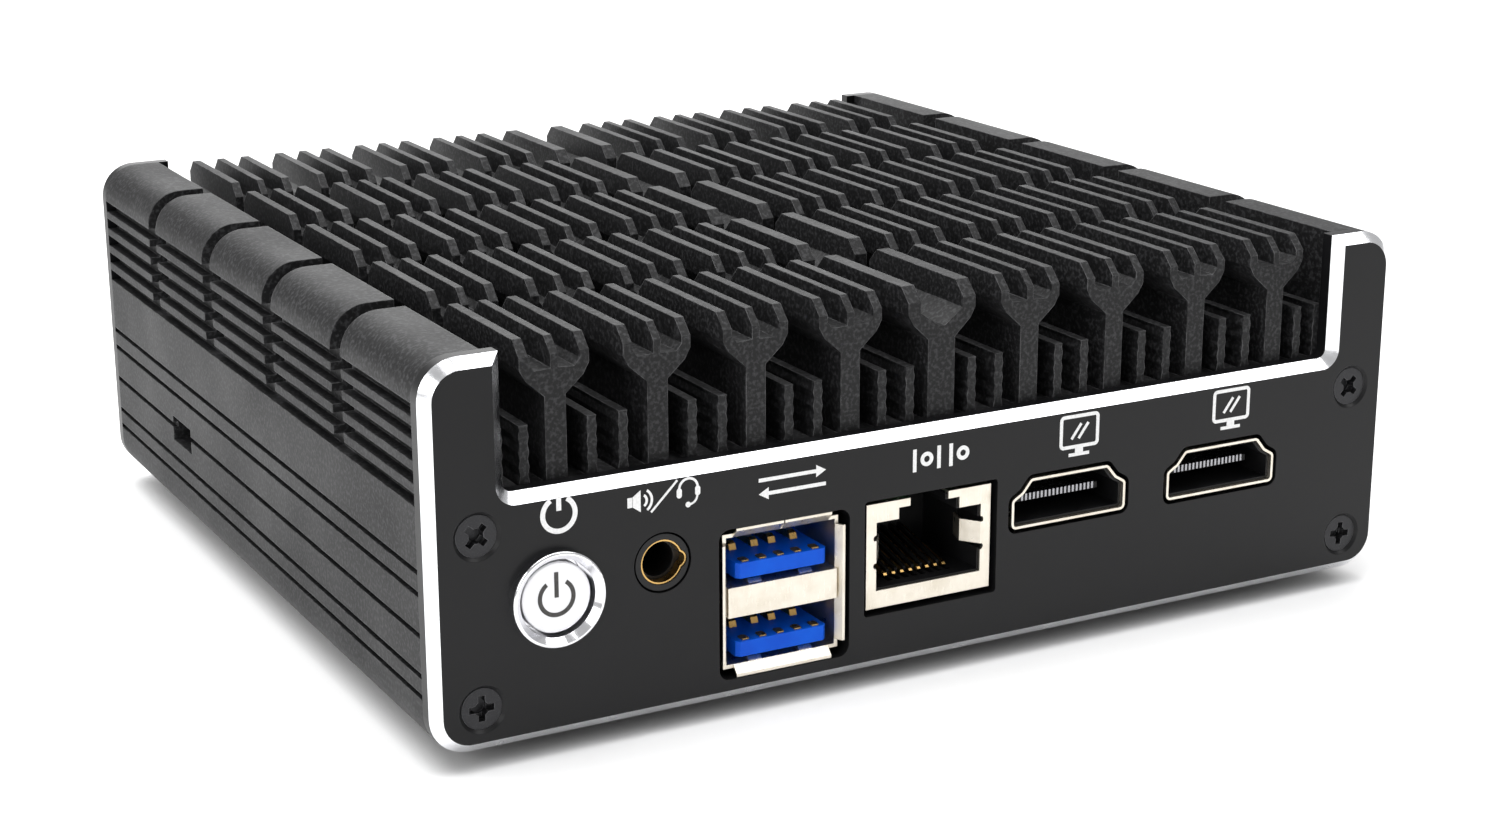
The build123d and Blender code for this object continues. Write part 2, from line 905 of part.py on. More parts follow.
def thermal_pad():
    return single(block((-9.0, 9.0), (-9.0, 9.0), (package_top, roof_bottom)))


memory_x = 2.0
memory_y = -32.0                  # back wall of the card's slot
memory_low = board_bottom - 4.0


def memory_socket():
    """Socket with two side arms that hold the memory card parallel to the board."""
    half = 36.5
    slot_half = 34.2
    arm_width = 1.8
    arm_length = 24.0
    body = block(
        (memory_x - half, memory_x + half),
        (memory_y - 3.0, memory_y + 2.5),
        (memory_low, board_bottom),
    )
    body -= block(
        (memory_x - slot_half, memory_x + slot_half),
        (memory_y - 0.5, memory_y + 5.0),
        (memory_low + 1.0, memory_low + 2.4),
    )
    for x in both_ways(half - arm_width / 2):
        body += block(
            (memory_x + x - arm_width / 2, memory_x + x + arm_width / 2),
            (memory_y + 2.0, memory_y + arm_length),
            (memory_low + 0.6, board_bottom),
        )
    return single(body)


def memory_module():
    """Memory card with four chips on each face."""
    half = 33.8
    length = 30.0
    low = memory_low + 1.1
    high = low + 1.2
    chip_height = 1.0
    chip_pitch = 15.5
    y_start = memory_y - 0.4
    card = block((memory_x - half, memory_x + half), (y_start, y_start + length), (low, high))
    for index in range(4):
        x = memory_x + (index - 1.5) * chip_pitch
        card += block(
            (x - 5.5, x + 5.5),
            (y_start + 10.0, y_start + 22.0),
            (low - chip_height, high + chip_height),
        )
    return single(card)


drive_x = -14.0
drive_y = 20.0
drive_half_length = 25.4
drive_low = board_bottom - 5.2    # underside of the drive's socket
drive_card_low = drive_low + 1.5
drive_card_high = drive_card_low + 1.0
drive_screw_x = drive_x - 23.0
drive_screw_ys = [drive_y + shift for shift in both_ways(10.5)]


def drive_socket():
    """Edge socket of the solid-state drive."""
    half = 15.0
    slot_half = 13.4
    edge = drive_x + drive_half_length
    body = block((edge - 1.0, edge + 6.0), (drive_y - half, drive_y + half), (drive_low, board_bottom))
    body -= block(
        (edge - 2.0, edge + 2.2),
        (drive_y - slot_half, drive_y + slot_half),
        (drive_card_low - 0.1, drive_card_high + 0.1),
    )
    return single(body)


def drive_card():
    """Solid-state drive card with its memory chips."""
    half_width = 13.3
    chip_half = (7.0, 9.0)
    card = block(
        (drive_x - drive_half_length, drive_x + drive_half_length + 2.0),
        (drive_y - half_width, drive_y + half_width),
        (drive_card_low, drive_card_high),
    )
    for x in (drive_x - 10.0, drive_x + 8.0):
        card += block(
            (x - chip_half[0], x + chip_half[0]),
            (drive_y - chip_half[1], drive_y + chip_half[1]),
            (drive_card_low - 1.0, drive_card_high),
        )
    cutters = [post(drive_screw_x, y, 1.3, drive_card_low - 1, drive_card_high + 1) for y in drive_screw_ys]
    return single(card - cutters)


def drive_spacers():
    """Two posts that carry the free end of the drive card."""
    spacers = []
    for y in drive_screw_ys:
        spacer = post(drive_screw_x, y, 2.2, drive_card_high, board_bottom)
        hole = post(drive_screw_x, y, thread_hole_radius, drive_card_high - 1, board_bottom + 1)
        spacers.append(spacer - hole)
    return group(spacers)


def drive_screws():
    screw = pan_screw(length=3.0)
    return group([Pos(drive_screw_x, y, drive_card_low) * screw for y in drive_screw_ys])


cell_x = 34.0
cell_y = 20.0
cell_radius = 10.0


def coin_cell():
    """Clock battery: a disc with a smaller raised face below."""
    low = board_bottom - 4.4
    cell = post(cell_x, cell_y, cell_radius, low + 0.4, low + 3.2)
    return single(cell + post(cell_x, cell_y, cell_radius - 1.4, low, low + 1))


def coin_cell_holder():
    """Round cup under the board, open in front so that the cell slides out."""
    low = board_bottom - 4.0
    ceiling = board_bottom - 1.1
    holder = post(cell_x, cell_y, cell_radius + 1.4, low, board_bottom)
    holder -= post(cell_x, cell_y, cell_radius + 0.1, low - 1, ceiling)
    holder -= block((cell_x - 5, cell_x + 5), (cell_y - 15, cell_y), (low - 1, ceiling))
    return single(holder)


converter_ys = (-22.0, -13.0, -4.0)  # rows of the power converters


def square_block(x, y, half, z_range):
    """Square upright block about a centre."""
    return block((x - half, x + half), (y - half, y + half), z_range)


def inductors():
    """Moulded power inductors in a row on the underside of the board."""
    pieces = []
    for y in converter_ys:
        body = square_block(-43.0, y, 3.4, (board_bottom - 3.0, board_bottom))
        pieces.append(chamfer(body.edges().filter_by(Axis.Z), 0.8))
    return group(pieces)


def capacitors():
    """Round polymer capacitors beside the inductors."""
    pieces = []
    for y in converter_ys:
        can = post(-37.0, y, 2.4, board_bottom - 5.5, board_bottom)
        pieces.append(fillet(can.edges().group_by(Axis.Z)[0], 0.4))
    return group(pieces)


def controller_chips():
    """Flat chips: two above the board for the network ports, one below it for the serial port."""
    network_half = 4.5
    serial_half = 3.2
    height = 1.0
    above = (board_top, board_top + height)
    below = (board_bottom - height, board_bottom)
    return group([
        square_block(lan_places["left"], 29.0, network_half, above),
        square_block(lan_places["right"], 34.0, network_half, above),
        square_block(44.0, -12.0, serial_half, below),
    ])


# ---- Build all nodes ---------------------------------------------------------------


def build():
    os.makedirs("parts", exist_ok=True)
    save("heatsink_housing", heatsink_housing())
    save("front_panel", front_panel())
    save("rear_panel", rear_panel())
    save("bottom_cover", bottom_cover())
    save("rubber_feet", rubber_feet())
    save("front_panel_screws", end_screws(front_y, towards_back))
    save("rear_panel_screws", end_screws(back_y, towards_front))
    save("bottom_cover_screws", cover_screws())

    save("power_button_bezel", power_button_bezel())
    save("power_button_nut", power_button_nut())
    save("power_button_cap", power_button_cap())
    save("power_button_clip", power_button_clip())
    save("power_switch_plunger", power_switch_plunger())
    save("power_switch_body", power_switch_body())
    save("audio_socket_body", audio_socket_body())
    save("audio_socket_ring", audio_socket_ring())

    for name, place in (
        ("front", lambda shape: at_front(shape, usb_x, usb_z)),
        ("rear", lambda shape: at_back(shape, rear_usb_x, usb_z)),
    ):
        save(f"{name}_usb_shell", place(usb_stack_shell()))
        save(f"{name}_usb_insulators", place(usb_stack_insulators()))
        save(f"{name}_usb_contacts", place(usb_stack_contacts()))

    modular_places = {
        "serial_socket": lambda shape: at_front(shape, serial_x, serial_z),
        "left_network_socket": lambda shape: at_back(shape, lan_places["left"], serial_z),
        "right_network_socket": lambda shape: at_back(shape, lan_places["right"], serial_z),
    }
    for name, place in modular_places.items():
        save(f"{name}_shell", place(modular_shell()))
        save(f"{name}_insert", place(modular_insert()))
        save(f"{name}_contacts", place(modular_contacts()))

    for side, x in video_places.items():
        save(f"{side}_video_socket_shell", at_front(video_socket_shell(), x, video_z))
        save(f"{side}_video_socket_insert", at_front(video_socket_insert(), x, video_z))
        save(f"{side}_video_socket_contacts", at_front(video_socket_contacts(), x, video_z))

    save("dc_inlet_body", at_back(dc_inlet_body(), dc_x, dc_z))
    save("dc_inlet_pin", at_back(dc_inlet_pin(), dc_x, dc_z))

    save("main_board", main_board())
    save("board_standoffs", board_standoffs())
    save("board_screws", board_screws())
    save("processor_package", processor_package())
    save("thermal_pad", thermal_pad())
    save("memory_socket", memory_socket())
    save("memory_module", memory_module())
    save("drive_socket", drive_socket())
    save("drive_card", drive_card())
    save("drive_spacers", drive_spacers())
    save("drive_screws", drive_screws())
    save("coin_cell", coin_cell())
    save("coin_cell_holder", coin_cell_holder())
    save("inductors", inductors())
    save("capacitors", capacitors())
    save("controller_chips", controller_chips())


build()
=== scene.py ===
import json
import math

import bmesh
import bpy
from mathutils import Euler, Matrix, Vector


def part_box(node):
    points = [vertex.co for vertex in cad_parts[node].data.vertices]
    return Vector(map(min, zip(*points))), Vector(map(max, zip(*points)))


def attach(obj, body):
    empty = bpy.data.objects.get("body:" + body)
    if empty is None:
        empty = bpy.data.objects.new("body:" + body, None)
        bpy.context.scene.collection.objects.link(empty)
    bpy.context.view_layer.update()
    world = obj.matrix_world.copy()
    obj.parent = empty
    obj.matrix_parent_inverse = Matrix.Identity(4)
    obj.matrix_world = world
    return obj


# Looks of the fanless miniature computer. Lengths are in metres, in the frame of the CAD model:
# the front panel faces -Y, and the object stands on z = 0.

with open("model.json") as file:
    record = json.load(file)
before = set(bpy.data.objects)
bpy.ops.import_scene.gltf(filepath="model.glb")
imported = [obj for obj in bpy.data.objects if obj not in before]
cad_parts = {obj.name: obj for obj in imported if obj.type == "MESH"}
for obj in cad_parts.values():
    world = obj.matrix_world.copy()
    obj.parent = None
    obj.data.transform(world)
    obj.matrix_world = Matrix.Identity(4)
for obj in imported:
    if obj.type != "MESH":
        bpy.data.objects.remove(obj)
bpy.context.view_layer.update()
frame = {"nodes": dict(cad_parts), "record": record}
nodes = frame["nodes"]

MM = 0.001
COMPUTER = "computer"   # the two bodies
BUTTON = "power_button"


def middle(node):
    """Centre of a CAD node's box."""
    low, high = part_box(node)
    return (low + high) / 2


PANEL_LOW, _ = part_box("front_panel")
FRONT_FACE = PANEL_LOW.y
PRINT_HEIGHT = PANEL_LOW.z + 22.4 * MM   # the row of printed symbols, above the sockets
INK_THICKNESS = 0.04 * MM
INK_SUNK = 0.01 * MM                     # reaches this far into the face, so that no gap shows
INK_STEP = 0.002 * MM                    # each stroke stands this much prouder than the one before

# ---- Materials ---------------------------------------------------------------------

NOISE_LOW, NOISE_HIGH = 0.3, 0.7         # nearly all of a noise texture lies between these
FACE_LIKENESS, EDGE_LIKENESS = 0.99, 0.8  # rolled normal dot flat normal, on a face and on an edge


class Material:
    """A Principled material, with short ways to add grain, streaks and worn edges to it."""

    def __init__(self, name, color, roughness, metallic=0.0):
        self.data = bpy.data.materials.new(name)
        self.data.use_nodes = True
        self.tree = self.data.node_tree
        self.shader = self.tree.nodes["Principled BSDF"]
        self.set("Base Color", (*color, 1.0))
        self.set("Roughness", roughness)
        self.set("Metallic", metallic)
        self.coordinates = self.add("ShaderNodeTexCoord").outputs["Object"]
        self.normal = None

    def add(self, kind, **settings):
        node = self.tree.nodes.new(kind)
        for key, value in settings.items():
            setattr(node, key, value)
        return node

    def set(self, socket, value):
        self.shader.inputs[socket].default_value = value

    def link(self, source, target):
        self.tree.links.new(source, target)

    def noise(self, size, detail=2.0, stretch=(1.0, 1.0, 1.0)):
        """Blotches about size across. A stretch above 1 draws them out along that axis."""
        mapping = self.add("ShaderNodeMapping")
        mapping.inputs["Scale"].default_value = [1.0 / s for s in stretch]
        texture = self.add("ShaderNodeTexNoise")
        texture.inputs["Scale"].default_value = 1.0 / size
        texture.inputs["Detail"].default_value = detail
        self.link(self.coordinates, mapping.inputs["Vector"])
        self.link(mapping.outputs["Vector"], texture.inputs["Vector"])
        return texture.outputs["Fac"]

    def cells(self, size):
        """Distance from the middle of the nearest of many small pits."""
        texture = self.add("ShaderNodeTexVoronoi")
        texture.inputs["Scale"].default_value = 1.0 / size
        self.link(self.coordinates, texture.inputs["Vector"])
        return texture.outputs["Distance"]

    def spread(self, factor, start, end, low, high):
        """Map a factor between start and end onto low to high."""
        span = self.add("ShaderNodeMapRange")
        limits = {"From Min": start, "From Max": end, "To Min": low, "To Max": high}
        for socket, value in limits.items():
            span.inputs[socket].default_value = value
        self.link(factor, span.inputs["Value"])
        return span.outputs["Result"]

    def mix(self, factor, first, second):
        """Blend of two colours, each a colour or an earlier node's output."""
        blend = self.add("ShaderNodeMix", data_type="RGBA")
        self.link(factor, blend.inputs["Factor"])
        for socket, value in (("A", first), ("B", second)):
            socket = [s for s in blend.inputs if s.name == socket and s.type == "RGBA"][0]
            if isinstance(value, bpy.types.NodeSocket):
                self.link(value, socket)
            else:
                socket.default_value = (*value, 1.0)
        return [s for s in blend.outputs if s.type == "RGBA"][0]

    def paint(self, color):
        self.link(color, self.shader.inputs["Base Color"])

    def vary_roughness(self, factor, low, high):
        roughness = self.spread(factor, NOISE_LOW, NOISE_HIGH, low, high)
        self.link(roughness, self.shader.inputs["Roughness"])

    def round_edges(self, radius):
        """Shading that rolls over the sharp edges. Returns a mask that is 1 on them."""
        bevel = self.add("ShaderNodeBevel", samples=6)
        bevel.inputs["Radius"].default_value = radius
        self.normal = bevel.outputs["Normal"]
        self.link(self.normal, self.shader.inputs["Normal"])
        flat = self.add("ShaderNodeNewGeometry").outputs["Normal"]
        likeness = self.add("ShaderNodeVectorMath", operation="DOT_PRODUCT")
        self.link(self.normal, likeness.inputs[0])
        self.link(flat, likeness.inputs[1])
        return self.spread(likeness.outputs["Value"], FACE_LIKENESS, EDGE_LIKENESS, 0.0, 1.0)

    def bump(self, factor, height, strength=1.0):
        """Relief of the given height, over the rounded edges and any earlier relief."""
        node = self.add("ShaderNodeBump")
        node.inputs["Strength"].default_value = strength
        node.inputs["Distance"].default_value = height
        self.link(factor, node.inputs["Height"])
        if self.normal is not None:
            self.link(self.normal, node.inputs["Normal"])
        self.normal = node.outputs["Normal"]
        self.link(self.normal, self.shader.inputs["Normal"])


def blasted_anodise():
    """Bead-blasted black anodised aluminium: a fine sparkle of pits, and a painted highlight in a pale
    colour along the edges.
    """
    black = (0.0065, 0.0065, 0.0070)
    sparkle = (0.036, 0.036, 0.038)
    # painted highlight: this pale colour laid along the edges stands for the bright lines that light draws
    # on them
    edge_highlight = (0.17, 0.17, 0.175)
    material = Material("blasted_anodise", black, 0.5)
    material.set("Specular IOR Level", 0.27)
    edge = material.round_edges(0.16 * MM)
    grain = material.noise(0.42 * MM, detail=4.0)
    speckle = material.spread(grain, 0.48, 0.66, 0.0, 1.0)
    patches = material.noise(14 * MM)
    color = material.mix(speckle, black, sparkle)
    # the edge mask, made patchy by this noise, lays the painted edge highlight
    rubbed_and_highlight = material.spread(material.noise(1.5 * MM), 0.42, 0.62, 0.1, 0.8)
    highlight_mask = material.add("ShaderNodeMath", operation="MULTIPLY")
    material.link(edge, highlight_mask.inputs[0])
    material.link(rubbed_and_highlight, highlight_mask.inputs[1])
    material.paint(material.mix(highlight_mask.outputs["Value"], color, edge_highlight))
    material.vary_roughness(patches, 0.50, 0.60)
    material.bump(grain, 0.035 * MM, 0.7)
    return material.data


def satin_panel():
    """Satin black anodised plate, with faint handling marks."""
    black = (0.0040, 0.0040, 0.0045)
    hazy = (0.0065, 0.0065, 0.0072)
    material = Material("satin_panel", black, 0.34)
    material.set("Specular IOR Level", 0.24)
    material.round_edges(0.08 * MM)
    marks = material.noise(9 * MM, detail=5.0)
    material.paint(material.mix(material.spread(marks, 0.4, 0.7, 0.0, 1.0), black, hazy))
    material.vary_roughness(marks, 0.30, 0.42)
    material.bump(material.noise(0.12 * MM, detail=3.0), 0.004 * MM, 0.35)
    return material.data


def cut_edge():
    """Bright diamond-cut chamfer, with fine feed lines along it."""
    silver = (0.93, 0.93, 0.95)
    dull = (0.82, 0.83, 0.86)
    material = Material("cut_edge", silver, 0.2, metallic=1.0)
    lines = material.noise(0.05 * MM, detail=3.0, stretch=(60.0, 1.0, 60.0))
    material.paint(material.mix(lines, dull, silver))
    material.vary_roughness(material.noise(2 * MM), 0.15, 0.28)
    material.bump(lines, 0.003 * MM, 0.4)
    return material.data


def powder_coat():
    """Fine powder coat on the sheet cover: a shallow orange peel with tiny grains."""
    black = (0.018, 0.018, 0.019)
    pale_grain = (0.04, 0.04, 0.042)
    rubbed_and_highlight = (0.05, 0.05, 0.052)
    material = Material("powder_coat", black, 0.55)
    edge = material.round_edges(0.12 * MM)
    grain = material.noise(0.22 * MM, detail=2.0)
    color = material.mix(material.spread(grain, 0.5, 0.75, 0.0, 1.0), black, pale_grain)
    material.paint(material.mix(edge, color, rubbed_and_highlight))
    material.vary_roughness(material.noise(6 * MM), 0.5, 0.62)
    material.bump(material.noise(0.9 * MM), 0.03 * MM, 0.4)
    material.bump(grain, 0.02 * MM, 0.6)
    return material.data


def rubber():
    """Matt black rubber with a dusty bloom."""
    black = (0.014, 0.014, 0.014)
    dusty = (0.045, 0.044, 0.042)
    material = Material("rubber", black, 0.85)
    dust = material.spread(material.noise(1.2 * MM, detail=6.0), 0.5, 0.75, 0.0, 1.0)
    material.paint(material.mix(dust, black, dusty))
    material.bump(material.noise(0.15 * MM, detail=3.0), 0.02 * MM, 0.6)
    return material.data


def oxide_screw():
    """Black oxide on steel, rubbed pale on the edges of the recess."""
    black = (0.022, 0.022, 0.024)
    pale_grain = (0.05, 0.05, 0.053)
    steel = (0.22, 0.22, 0.23)
    material = Material("oxide_screw", black, 0.4, metallic=0.6)
    edge = material.round_edges(0.10 * MM)
    grain = material.noise(0.18 * MM, detail=4.0)
    color = material.mix(material.spread(grain, 0.5, 0.75, 0.0, 1.0), black, pale_grain)
    material.paint(material.mix(material.spread(edge, 0.2, 1.0, 0.0, 0.8), color, steel))
    material.vary_roughness(grain, 0.32, 0.5)
    material.bump(grain, 0.008 * MM, 0.5)
    return material.data


def polished_bezel():
    """Polished nickel-chrome of the button's bezel, with hairline polishing marks."""
    bright = (0.90, 0.90, 0.92)
    scuffed = (0.84, 0.84, 0.87)
    material = Material("polished_bezel", bright, 0.1, metallic=1.0)
    material.round_edges(0.08 * MM)
    hairs = material.noise(0.06 * MM, detail=3.0, stretch=(12.0, 1.0, 1.0))
    material.paint(material.mix(hairs, scuffed, bright))
    material.vary_roughness(hairs, 0.07, 0.15)
    return material.data


def satin_cap():
    """Satin silver button cap with a fine blasted grain."""
    silver = (0.80, 0.80, 0.815)
    shaded = (0.73, 0.73, 0.75)
    material = Material("satin_cap", silver, 0.38, metallic=0.75)
    material.round_edges(0.10 * MM)
    grain = material.noise(0.1 * MM, detail=3.0)
    material.paint(material.mix(grain, shaded, silver))
    material.vary_roughness(grain, 0.33, 0.45)
    material.bump(grain, 0.006 * MM, 0.4)
    return material.data


def nickel():
    """Stamped sheet with a warm nickel plating: rolling streaks and small scratches."""
    pale = (0.74, 0.69, 0.60)
    tarnish = (0.55, 0.49, 0.39)
    rubbed_and_highlight = (0.88, 0.84, 0.76)
    material = Material("nickel", pale, 0.32, metallic=1.0)
    edge = material.round_edges(0.07 * MM)
    streaks = material.noise(0.10 * MM, detail=4.0, stretch=(1.0, 8.0, 10.0))
    stains = material.noise(2.4 * MM, detail=4.0)
    color = material.mix(material.spread(stains, 0.45, 0.75, 0.0, 0.6), pale, tarnish)
    material.paint(material.mix(material.spread(edge, 0.2, 1.0, 0.0, 0.7), color, rubbed_and_highlight))
    material.vary_roughness(streaks, 0.26, 0.42)
    material.bump(streaks, 0.006 * MM, 0.5)
    return material.data


def gilt():
    """Gold flash plating on the contacts, a little uneven."""
    gold = (0.72, 0.47, 0.17)
    thin_gold = (0.50, 0.30, 0.10)
    material = Material("gilt", gold, 0.3, metallic=1.0)
    material.round_edges(0.05 * MM)
    uneven = material.noise(0.6 * MM, detail=3.0)
    material.paint(material.mix(uneven, thin_gold, gold))
    material.vary_roughness(uneven, 0.24, 0.38)
    return material.data


def moulded(name, color, pale, roughness, gloss):
    """Moulded plastic: a spark-eroded skin with faint flow marks."""
    material = Material(name, color, roughness)
    material.set("Specular IOR Level", gloss)
    edge = material.round_edges(0.08 * MM)
    flow = material.noise(3 * MM, detail=3.0)
    skin = material.mix(material.spread(flow, 0.4, 0.7, 0.0, 0.5), color, pale)
    material.paint(material.mix(material.spread(edge, 0.2, 1.0, 0.0, 0.6), skin, pale))
    material.vary_roughness(flow, roughness - 0.04, roughness + 0.08)
    material.bump(material.noise(0.12 * MM, detail=2.0), 0.008 * MM, 0.4)
    return material.data


def blue_plastic():
    blue = (0.000, 0.075, 0.58)
    pale = (0.001, 0.12, 0.72)
    return moulded("blue_plastic", blue, pale, roughness=0.36, gloss=0.15)


def black_plastic():
    black = (0.006, 0.006, 0.0065)
    pale = (0.014, 0.014, 0.015)
    return moulded("black_plastic", black, pale, roughness=0.42, gloss=0.3)


def board_laminate():
    """Solder resist over copper: traces show as a fine weave of slightly paler lines."""
    green = (0.006, 0.055, 0.022)
    copper_under = (0.018, 0.105, 0.045)
    material = Material("board_laminate", green, 0.3)
    material.set("Coat Weight", 0.4)
    traces = material.noise(0.5 * MM, detail=1.0, stretch=(6.0, 1.0, 1.0))
    material.paint(material.mix(material.spread(traces, 0.48, 0.54, 0.0, 1.0), green, copper_under))
    material.bump(traces, 0.01 * MM, 0.4)
    return material.data


def thermal_rubber():
    """Grey gap-filler pad, soft and slightly pitted."""
    grey = (0.16, 0.17, 0.19)
    pitted = (0.10, 0.11, 0.12)
    material = Material("thermal_rubber", grey, 0.8)
    pits = material.cells(0.4 * MM)
    material.paint(material.mix(pits, pitted, grey))
    material.bump(pits, 0.03 * MM, 0.5)
    return material.data


def turned_metal(name, color, dark):
    """Turned or rolled metal, with fine tool marks round it."""
    material = Material(name, color, 0.3, metallic=1.0)
    material.round_edges(0.08 * MM)
    marks = material.noise(0.08 * MM, detail=3.0, stretch=(10.0, 10.0, 1.0))
    material.paint(material.mix(marks, dark, color))
    material.vary_roughness(marks, 0.22, 0.38)
    material.bump(marks, 0.005 * MM, 0.4)
    return material.data


def tinned_contact():
    """Dull tin plating on the fine contacts."""
    return turned_metal("tinned_contact", color=(0.42, 0.42, 0.44), dark=(0.28, 0.28, 0.30))


def turned_brass():
    return turned_metal("turned_brass", color=(0.80, 0.60, 0.28), dark=(0.58, 0.40, 0.16))


def plain_steel():
    return turned_metal("plain_steel", color=(0.68, 0.68, 0.70), dark=(0.48, 0.48, 0.50))


def ink(name, color, faded):
    """Screen-printed ink, slightly uneven in cover."""
    material = Material(name, color, 0.5)
    cover = material.noise(0.25 * MM, detail=3.0)
    covered = material.spread(cover, NOISE_LOW, NOISE_HIGH, 0.0, 1.0)
    material.paint(material.mix(covered, faded, color))
    material.vary_roughness(cover, 0.42, 0.6)
    return material.data


def pale_floor():
    """Seamless white studio table."""
    white = (0.97, 0.97, 0.97)
    off_white = (0.95, 0.95, 0.95)
    material = Material("pale_floor", white, 0.75)
    clouds = material.noise(0.3, detail=2.0)
    material.paint(material.mix(clouds, off_white, white))
    material.bump(material.noise(0.6 * MM), 0.01 * MM, 0.15)
    return material.data


FINISHES = {
    "black_anodised": blasted_anodise(),
    "panel_anodised": satin_panel(),
    "black_powder_coat": powder_coat(),
    "black_rubber": rubber(),
    "black_screw": oxide_screw(),
    "bright_plating": polished_bezel(),
    "nickel_shell": nickel(),
    "gilt_contact": gilt(),
    "tinned_contact": tinned_contact(),
    "blue_plastic": blue_plastic(),
    "black_plastic": black_plastic(),
    "board_laminate": board_laminate(),
    "thermal_rubber": thermal_rubber(),
    "turned_brass": turned_brass(),
    "plain_steel": plain_steel(),
}
CUT_EDGE = cut_edge()
WHITE_INK = ink("white_ink", color=(0.86, 0.86, 0.86), faded=(0.72, 0.72, 0.72))
DARK_INK = ink("dark_ink", color=(0.030, 0.028, 0.026), faded=(0.055, 0.052, 0.050))


def dress(node, *materials):
    """Give a CAD node these materials in place of its plain one."""
    slots = nodes[node].data.materials
    slots.clear()
    for material in materials:
        slots.append(material)


def screw_centres(node):
    """Centres of the four corner screws of a panel, in x and z."""
    centre = middle(node)
    corners = {}
    for vertex in nodes[node].data.vertices:
        key = (vertex.co.x > centre.x, vertex.co.z > centre.z)
        corners.setdefault(key, []).append(vertex.co)
    centres = []
    for points in corners.values():
        xs = [p.x for p in points]
        zs = [p.z for p in points]
        centres.append(((min(xs) + max(xs)) / 2, (min(zs) + max(zs)) / 2))
    return centres


def brighten_chamfers(panel, screws):
    """The sloping faces round a panel's outline get the bright cut edge, but not its countersinks."""
    slope = math.cos(math.radians(45))
    slope_tolerance = 0.03
    seat_radius = 3.4 * MM
    centres = screw_centres(screws)
    dress(panel, FINISHES["panel_anodised"], CUT_EDGE)
    for face in nodes[panel].data.polygons:
        sloping = abs(abs(face.normal.y) - slope) < slope_tolerance
        seated = any(math.hypot(face.center.x - x, face.center.z - z) < seat_radius for x, z in centres)
        face.material_index = int(sloping and not seated)


def dress_nodes():
    """Each CAD node gets its record slot's finish, and the cap and the panels get finishes of their own."""
    for subpart in frame["record"]["subparts"]:
        dress(subpart["node"], FINISHES[subpart["material_slot"]])
    dress("power_button_cap", satin_cap())
    brighten_chamfers("front_panel", "front_panel_screws")
    brighten_chamfers("rear_panel", "rear_panel_screws")


# ---- Printed symbols ---------------------------------------------------------------
# Each symbol is a few flat strokes, drawn in x and z and raised a little from the face.

ARC_STEPS = 40


def ring_stroke(centre, radius, width, start, end):
    """Arc of a ring, from start to end in degrees, anticlockwise from +x."""
    angles = [math.radians(start + (end - start) * i / ARC_STEPS) for i in range(ARC_STEPS + 1)]
    outside = [(radius + width / 2, a) for a in angles]
    inside = [(radius - width / 2, a) for a in reversed(angles)]
    return [(centre[0] + r * math.cos(a), centre[1] + r * math.sin(a)) for r, a in outside + inside]


def disc(centre, radius):
    """Filled circle."""
    angles = [2 * math.pi * i / ARC_STEPS for i in range(ARC_STEPS)]
    return [(centre[0] + radius * math.cos(a), centre[1] + radius * math.sin(a)) for a in angles]


def line(start, end, width):
    """Straight stroke with square ends."""
    along = (Vector(end) - Vector(start)).normalized()
    across = Vector((-along.y, along.x)) * width / 2
    return [tuple(Vector(p) + side * across) for p, side in ((start, 1), (start, -1), (end, -1), (end, 1))]


def capsule(start, end, width):
    """Straight stroke with round ends."""
    return [line(start, end, width), disc(start, width / 2), disc(end, width / 2)]


def rectangle(low, high):
    return [low, (high[0], low[1]), high, (low[0], high[1])]


def frame_strokes(low, high, width, radius):
    """Four bars and four round corners that make an open rectangle."""
    left, bottom = low[0] + radius, low[1] + radius
    right, top = high[0] - radius, high[1] - radius
    quarters = (((right, top), 0), ((left, top), 90), ((left, bottom), 180), ((right, bottom), 270))
    bars = [
        rectangle((left, low[1]), (right, low[1] + width)),
        rectangle((left, high[1] - width), (right, high[1])),
        rectangle((low[0], bottom), (low[0] + width, top)),
        rectangle((high[0] - width, bottom), (high[0], top)),
    ]
    corners = [
        ring_stroke(centre, radius - width / 2, width, start, start + 90)
        for centre, start in quarters
    ]
    return bars + corners


def signed_area(outline):
    """Area within an outline, negative if it runs clockwise."""
    return sum(a[0] * b[1] - b[0] * a[1] for a, b in zip(outline, outline[1:] + outline[:1])) / 2


def print_symbol(name, outlines, face, body, material):
    """Raise closed flat outlines from a face that looks towards -Y, as one piece."""
    solid = bmesh.new()
    for index, outline in enumerate(outlines):
        if signed_area(outline) < 0:
            outline = outline[::-1]
        proud = INK_THICKNESS + INK_STEP * index
        front = [solid.verts.new((x, face - proud, z)) for x, z in outline]
        back = [solid.verts.new((x, face + INK_SUNK, z)) for x, z in outline]
        solid.faces.new(front)
        solid.faces.new(back[::-1])
        for i in range(len(outline)):
            j = (i + 1) % len(outline)
            solid.faces.new((front[j], front[i], back[i], back[j]))
    solid.normal_update()
    ends = [f for f in solid.faces if len(f.verts) > 4]
    bmesh.ops.triangulate(solid, faces=ends, ngon_method="EAR_CLIP")
    mesh = bpy.data.meshes.new(name)
    solid.to_mesh(mesh)
    solid.free()
    mesh.materials.append(material)
    piece = bpy.data.objects.new(name, mesh)
    bpy.context.scene.collection.objects.link(piece)
    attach(piece, body)


def power_strokes(centre, radius, width, gap, bar_low, bar_high):
    """Standby sign: a ring with a bar in its gap. The gap is in degrees, to each side of the top."""
    ring = ring_stroke(centre, radius, width, 90 + gap, 450 - gap)
    bar = line((centre[0], centre[1] + bar_low), (centre[0], centre[1] + bar_high), width)
    return [ring, bar]


